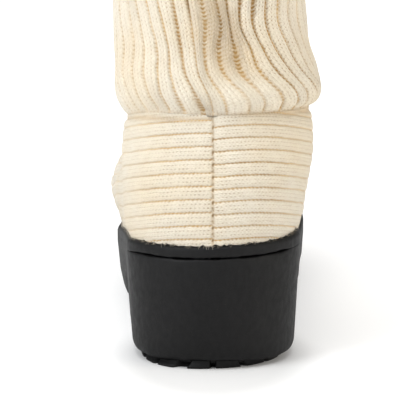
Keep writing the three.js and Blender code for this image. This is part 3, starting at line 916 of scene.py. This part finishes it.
# Painted shade in the grooves, ladders and troughs: how dark, how wide, in bands, and toward the ladder's tone
GROOVE = dict(scale=45.0, dark=(0.35, 0.65), edge=(0.2, 1.3, 1.0, 0.0), slack_and_painted_shade=(-0.6, 0.8, 0.85, 0.6), ladder=0.7)
SEAM_TONE = dict(deep=0.9, sewn=(0.3, 0.9, 0.0, 0.75))
FUZZ = dict(scale=2600.0, tone=(0.35, 0.6, 0.14, 0.0), height=0.5)
KNIT_BUMP = dict(distance=0.00055, strength=0.9)
WOOL = dict(cloud=900.0, shade=0.86, fuzz=3000.0, bump=0.0001)
STREAK = dict(scale=420.0, detail=3.0, stretch=(1, 1, 0.6))
RUBBER = dict(grain=1900.0, cloud=38.0, pale=(0.3, 0.75), shade=1.35, streaks=0.5, rough=(0.25, 0.75, 0.54, 0.66))
RUBBER_BUMP = dict(distance=0.00018, strength=0.6)
CLOTH = dict(weave=1500.0, cloud=60.0, shade=0.8)
CLOTH_BUMP = dict(distance=0.0003, strength=0.7)

# Sockets of a mix of colours: factor and both colours, and what comes out
MIX_INPUTS = (0, 6, 7)
MIX_OUTPUT = 2


class Tree:
    """Short hand for a material's nodes."""

    def __init__(self, name):
        self.material = bpy.data.materials.new(name)
        self.material.use_nodes = True
        self.nodes = self.material.node_tree.nodes
        self.links = self.material.node_tree.links
        self.shader = self.nodes["Principled BSDF"]
        self.place = self.node("ShaderNodeTexCoord").outputs["Object"]

    def feed(self, socket, value):
        if isinstance(value, bpy.types.NodeSocket):
            self.links.new(value, socket)
        else:
            socket.default_value = value

    def node(self, kind, settings=None, **inputs):
        node = self.nodes.new(kind)
        for key, value in (settings or {}).items():
            setattr(node, key, value)
        for key, value in inputs.items():
            self.feed(node.inputs[key.replace("_", " ")], value)
        return node

    def math(self, operation, *values, clamp=False):
        node = self.nodes.new("ShaderNodeMath")
        node.operation = operation
        node.use_clamp = clamp
        for socket, value in zip(node.inputs, values):
            self.feed(socket, value)
        return node.outputs[0]

    def plus(self, a, b):
        return self.math("ADD", a, b)

    def minus(self, a, b):
        return self.math("SUBTRACT", a, b)

    def times(self, a, b):
        return self.math("MULTIPLY", a, b)

    def scaled(self, value, share, more):
        return self.math("MULTIPLY_ADD", value, share, more)

    def range(self, value, low, high, to_low=0.0, to_high=1.0):
        node = self.node("ShaderNodeMapRange", dict(interpolation_type="SMOOTHSTEP"))
        for socket, given in zip(node.inputs, (value, low, high, to_low, to_high)):
            self.feed(socket, given)
        return node.outputs[0]

    def mix(self, factor, a, b):
        node = self.node("ShaderNodeMix", dict(data_type="RGBA"))
        for socket, value in zip(MIX_INPUTS, (factor, a, b)):
            self.feed(node.inputs[socket], value)
        return node.outputs[MIX_OUTPUT]

    def noise(self, scale, detail=2.0, stretch=(1, 1, 1)):
        mapping = self.node("ShaderNodeMapping", Vector=self.place, Scale=stretch)
        node = self.node("ShaderNodeTexNoise", Vector=mapping.outputs[0], Scale=scale, Detail=detail)
        return node.outputs["Fac"]

    def bump(self, height, distance, strength=1.0):
        return self.node("ShaderNodeBump", Height=height, Distance=distance, Strength=strength).outputs[0]

    def chance(self, **cell):
        """A random share for each cell of a chart."""
        cell = self.node("ShaderNodeCombineXYZ", **cell)
        return self.node("ShaderNodeTexWhiteNoise", Vector=cell.outputs[0]).outputs["Value"]

    def finish(self, **inputs):
        for key, value in inputs.items():
            self.feed(self.shader.inputs[key.replace("_", " ")], value)
        return self.material


def shade(tone, share):
    return (*(share * part for part in tone[:3]), 1.0)


def linear(red, green, blue):
    """Colour of the photo's kind, 0 to 255 a channel, as linear light."""
    def channel(value):
        share = value / 255
        return share / 12.92 if share <= 0.04045 else ((share + 0.055) / 1.055) ** 2.4
    return (*(channel(value) for value in (red, green, blue)), 1.0)


def knit_material(name, tones):
    """Columns of V stitches on each rib, and a groove between ribs that opens to a ladder of rungs."""
    tree = Tree(name)
    chart = tree.node("ShaderNodeUVMap", dict(uv_map="knit")).outputs[0]
    split = tree.node("ShaderNodeSeparateXYZ", Vector=chart)
    opened, hollow, tint, slack_and_painted_shade = (
        tree.node("ShaderNodeAttribute", dict(attribute_name=mark)).outputs["Fac"]
        for mark in ("open", "hollow", "tint", "slack_and_painted_shade"))
    waver = tree.minus(tree.noise(WAVER["scale"]), 0.5)
    shiver = tree.minus(tree.noise(SHIVER["scale"], detail=1.0), 0.5)
    phase = tree.scaled(waver, WAVER["rib"], split.outputs[1])
    phase = tree.scaled(shiver, SHIVER["rib"], phase)
    course = tree.scaled(waver, WAVER["course"], split.outputs[0])
    rib = tree.math("FRACT", phase)
    edge = tree.math("MINIMUM", rib, tree.minus(1.0, rib))
    ragged = tree.noise(RAGGED["scale"], detail=1.0)
    ragged = tree.scaled(ragged, RAGGED["spread"], RAGGED["least"])
    half = tree.scaled(opened, LADDER_HALF - GROOVE_HALF, GROOVE_HALF)
    half = tree.times(half, ragged)
    groove = tree.range(tree.math("DIVIDE", edge, half), *GROOVE["edge"])

    width = tree.minus(1.0, tree.times(half, 2.0))
    across = tree.math("DIVIDE", tree.minus(rib, half), width)
    columns = tree.times(across, float(WALES))
    wale = tree.math("FLOOR", columns)
    arm = tree.math("ABSOLUTE", tree.minus(tree.math("FRACT", columns), 0.5))
    along = tree.scaled(columns, STITCH["skew"], course)
    along = tree.scaled(arm, STITCH["arm"], along)
    leg = tree.math("SINE", tree.times(tree.math("FRACT", along), math.pi))
    leg_height = tree.math("POWER", leg, STITCH["leg_round"])
    wale_height = tree.math("COSINE", tree.times(arm, math.pi))
    wale_height = tree.math("POWER", wale_height, STITCH["wale_round"])
    middle = tree.range(arm, *STITCH["middle"])
    stitch = tree.times(tree.times(leg_height, wale_height), middle)
    chance = tree.chance(X=tree.math("FLOOR", along), Y=wale, Z=tree.math("FLOOR", phase))
    # Painted shade in the pits between the stitch legs, at random, scaled by the strength of painted shade
    line = tree.plus(tree.range(arm, *PIT["edge"]), tree.range(arm, *PIT["middle"]))
    pit = tree.times(line, tree.range(leg_height, *PIT["legs"]))
    pit = tree.times(pit, tree.range(chance, *PIT["chance"]))
    pit = tree.times(pit, tint)

    # Ladders: painted shade between the rungs, paler on them, and in closed grooves in dashes
    aside = tree.minus(tree.math("FRACT", tree.plus(phase, 0.5)), 0.5)
    fall = tree.scaled(tree.math("ABSOLUTE", aside), RUNG["fall"], course)
    beat = tree.math("SINE", tree.times(fall, 2 * math.pi))
    luck = tree.chance(X=tree.math("FLOOR", course), Y=tree.math("ROUND", phase))
    rung = tree.times(tree.range(beat, *RUNG["beat"]), tree.range(luck, *RUNG["luck"]))
    cloud = tree.range(tree.noise(DASH["scale"]), *DASH["cloud"])
    dash = tree.times(tree.range(beat, *DASH["beat"]), cloud)
    bar = tree.scaled(rung, RUNG["pale"], 1.0)
    mark = tree.plus(dash, tree.times(opened, tree.minus(bar, dash)))
    # Painted shade in the grooves between ribs, in dashes, scaled by the strength of painted shade
    deep = tree.times(tree.times(groove, mark), tint)
    # Painted shade in the troughs and along the ankle groove, in bands along the courses
    band = tree.times(slack_and_painted_shade, tree.range(beat, *GROOVE["slack_and_painted_shade"]))
    sewn = tree.times(hollow, SEAM_TONE["deep"])
    deep = tree.math("MAXIMUM", tree.math("MAXIMUM", deep, band), sewn, clamp=True)

    warm = tree.range(tree.noise(PALE["scale"], detail=3.0), *PALE["warm"])
    pale = tree.mix(warm, tones["pale"], tones["pale_warm"])
    dark = tree.range(tree.noise(GROOVE["scale"]), *GROOVE["dark"])
    # Tones of the painted shade: unevenly dark in the grooves, darker in the ladders
    groove_tone = tree.mix(dark, tones["groove"], tones["groove_dark"])
    groove_tone = tree.mix(tree.times(opened, GROOVE["ladder"]), groove_tone, tones["ladder"])
    # Painted shade over the yarn's colour: pits first, then grooves, ladders and troughs
    colour = tree.mix(pit, pale, tones["pit"])
    colour = tree.mix(deep, colour, groove_tone)
    colour = tree.mix(tree.range(hollow, *SEAM_TONE["sewn"]), colour, tones["sewn"])
    fuzz = tree.noise(FUZZ["scale"], detail=3.0)
    colour = tree.mix(tree.range(fuzz, *FUZZ["tone"]), colour, tones["pit"])
    on_rib = tree.times(stitch, tree.minus(1.0, groove))
    in_ladder = tree.times(opened, RUNG["height"])
    in_groove = tree.times(tree.times(groove, rung), in_ladder)
    height = tree.scaled(fuzz, FUZZ["height"], tree.plus(on_rib, in_groove))
    normal = tree.bump(height, **KNIT_BUMP)
    return tree.finish(Base_Color=colour, Roughness=0.95, Normal=normal, Sheen_Weight=0.15,
                       Sheen_Roughness=0.6, Specular_IOR_Level=0.12)


def wool_material(name, tone):
    """Loose fibres of the knit's yarn."""
    tree = Tree(name)
    colour = tree.mix(tree.noise(WOOL["cloud"]), tone, shade(tone, WOOL["shade"]))
    normal = tree.bump(tree.noise(WOOL["fuzz"]), WOOL["bump"])
    return tree.finish(Base_Color=colour, Roughness=0.95, Normal=normal, Specular_IOR_Level=0.12)


def rubber_material(name, tone):
    tree = Tree(name)
    streak = tree.noise(**STREAK)
    grain = tree.noise(RUBBER["grain"])
    cloud = tree.noise(RUBBER["cloud"], detail=3.0)
    colour = tree.mix(tree.range(cloud, *RUBBER["pale"]), tone, shade(tone, RUBBER["shade"]))
    height = tree.plus(tree.times(streak, RUBBER["streaks"]), grain)
    rough = tree.range(streak, *RUBBER["rough"])
    normal = tree.bump(height, **RUBBER_BUMP)
    return tree.finish(Base_Color=colour, Roughness=rough, Normal=normal, Specular_IOR_Level=0.22)


def footbed_material(name, tone):
    tree = Tree(name)
    colour = tree.mix(tree.noise(CLOTH["cloud"]), tone, shade(tone, CLOTH["shade"]))
    normal = tree.bump(tree.noise(CLOTH["weave"]), **CLOTH_BUMP)
    return tree.finish(Base_Color=colour, Roughness=0.9, Normal=normal)


# Stage: floor, light and camera

EYE = (0, -1308.6, 326.9)
AIM = (-3.5, -33.3, 74.9)
FRAME_WIDTH = 180.4
FRAME_DISTANCE = 1300
SENSOR = 36.0

# The floor glows white but for a shadow round the heel: distances from there and strengths
FLOOR = dict(reach=20000, tone=(0.64, 0.64, 0.64, 1), heel=(0, 0.02, 0), stretch=(1.6, 1, 1),
             beside=(0.045, 0.09, 0.04, 0.42), beyond=(0.3, 0.9, 0.0, 0.2))
WORLD_STRENGTH = 0.46
SOFTBOXES = [
    dict(name="key", eye=(-920, -620, 800), aim=(0, 0, 90), size=800, watts=12, tone=(0.965, 0.985, 1)),
    dict(name="overhead", eye=(-100, -250, 1500), aim=(0, 0, 0), size=1300, watts=14.5, tone=(1, 1, 1)),
    dict(name="side_fill", eye=(1100, -500, 500), aim=(0, 0, 90), size=900, watts=6.6, tone=(1, 0.93, 0.8)),
]


def look_from(thing, eye, aim):
    thing.location = Vector(eye) * MM
    thing.rotation_euler = (Vector(aim) - Vector(eye)).to_track_quat("-Z", "Y").to_euler()


def build_camera():
    camera = add("camera", bpy.data.cameras.new("camera"))
    camera.data.sensor_width = SENSOR
    camera.data.lens = SENSOR * FRAME_DISTANCE / FRAME_WIDTH
    look_from(camera, EYE, AIM)
    bpy.context.scene.camera = camera


def build_floor():
    reach = FLOOR["reach"]
    corners = [(-reach, -reach, 0), (reach, -reach, 0), (reach, reach, 0), (-reach, reach, 0)]
    floor = make_mesh("floor", corners, [(0, 1, 2, 3)])
    tree = Tree("studio_floor")
    from_heel = tree.node("ShaderNodeMapping", Vector=tree.place, Location=FLOOR["heel"], Scale=FLOOR["stretch"])
    away = tree.node("ShaderNodeVectorMath", dict(operation="LENGTH"))
    tree.feed(away.inputs[0], from_heel.outputs[0])
    beside = tree.range(away.outputs["Value"], *FLOOR["beside"])
    beyond = tree.range(away.outputs["Value"], *FLOOR["beyond"])
    glow = tree.plus(beside, beyond)
    tree.finish(Base_Color=FLOOR["tone"], Roughness=0.9, Emission_Color=(1, 1, 1, 1), Emission_Strength=glow)
    floor.data.materials.append(tree.material)


def softbox(name, eye, aim, size, watts, tone):
    lamp = bpy.data.lights.new(name, "AREA")
    lamp.color = tone
    lamp.shape = "DISK"
    lamp.size = size * MM
    lamp.energy = watts
    look_from(add(name, lamp), eye, aim)


def build_light():
    world = bpy.data.worlds.new("studio")
    world.use_nodes = True
    background = world.node_tree.nodes["Background"]
    background.inputs["Color"].default_value = (1, 1, 1, 1)
    background.inputs["Strength"].default_value = WORLD_STRENGTH
    bpy.context.scene.world = world
    for row in SOFTBOXES:
        softbox(**row)


# The boot

cream = knit_material("cream_rib_knit", dict(
    pale=linear(229, 222, 207),
    pale_warm=linear(229, 217, 194),
    # Tones of painted shade: pit, groove, groove_dark and ladder
    pit=linear(150, 114, 64),
    groove=linear(196, 159, 98),
    groove_dark=linear(158, 121, 66),
    ladder=linear(140, 111, 66),
    sewn=linear(118, 90, 52)))
rubber = rubber_material("charcoal_rubber", linear(9, 9, 10))
wool = wool_material("loose_wool", linear(226, 216, 198))
footbed = footbed_material("footbed_cloth", linear(216, 203, 176))

place(build_upper(), cream, "cream_knit", "upper")
place(build_fray(), wool, "cream_knit")
place(build_shaft(), cream, "cream_knit", "shaft")
place(build_block(), rubber, "black_rubber", "platform_block")
place(build_rim(), rubber, "black_rubber", "midsole_rim")
place(build_tread("rubber_heel_tread", HEEL_TREAD), rubber, "black_rubber", "heel_tread")
place(build_tread("rubber_forefoot_tread", FOREFOOT_TREAD), rubber, "black_rubber", "forefoot_tread")
place(build_footbed(), footbed, "footbed", "insole")

build_camera()
build_floor()
build_light()
bpy.context.scene.view_settings.view_transform = "Standard"
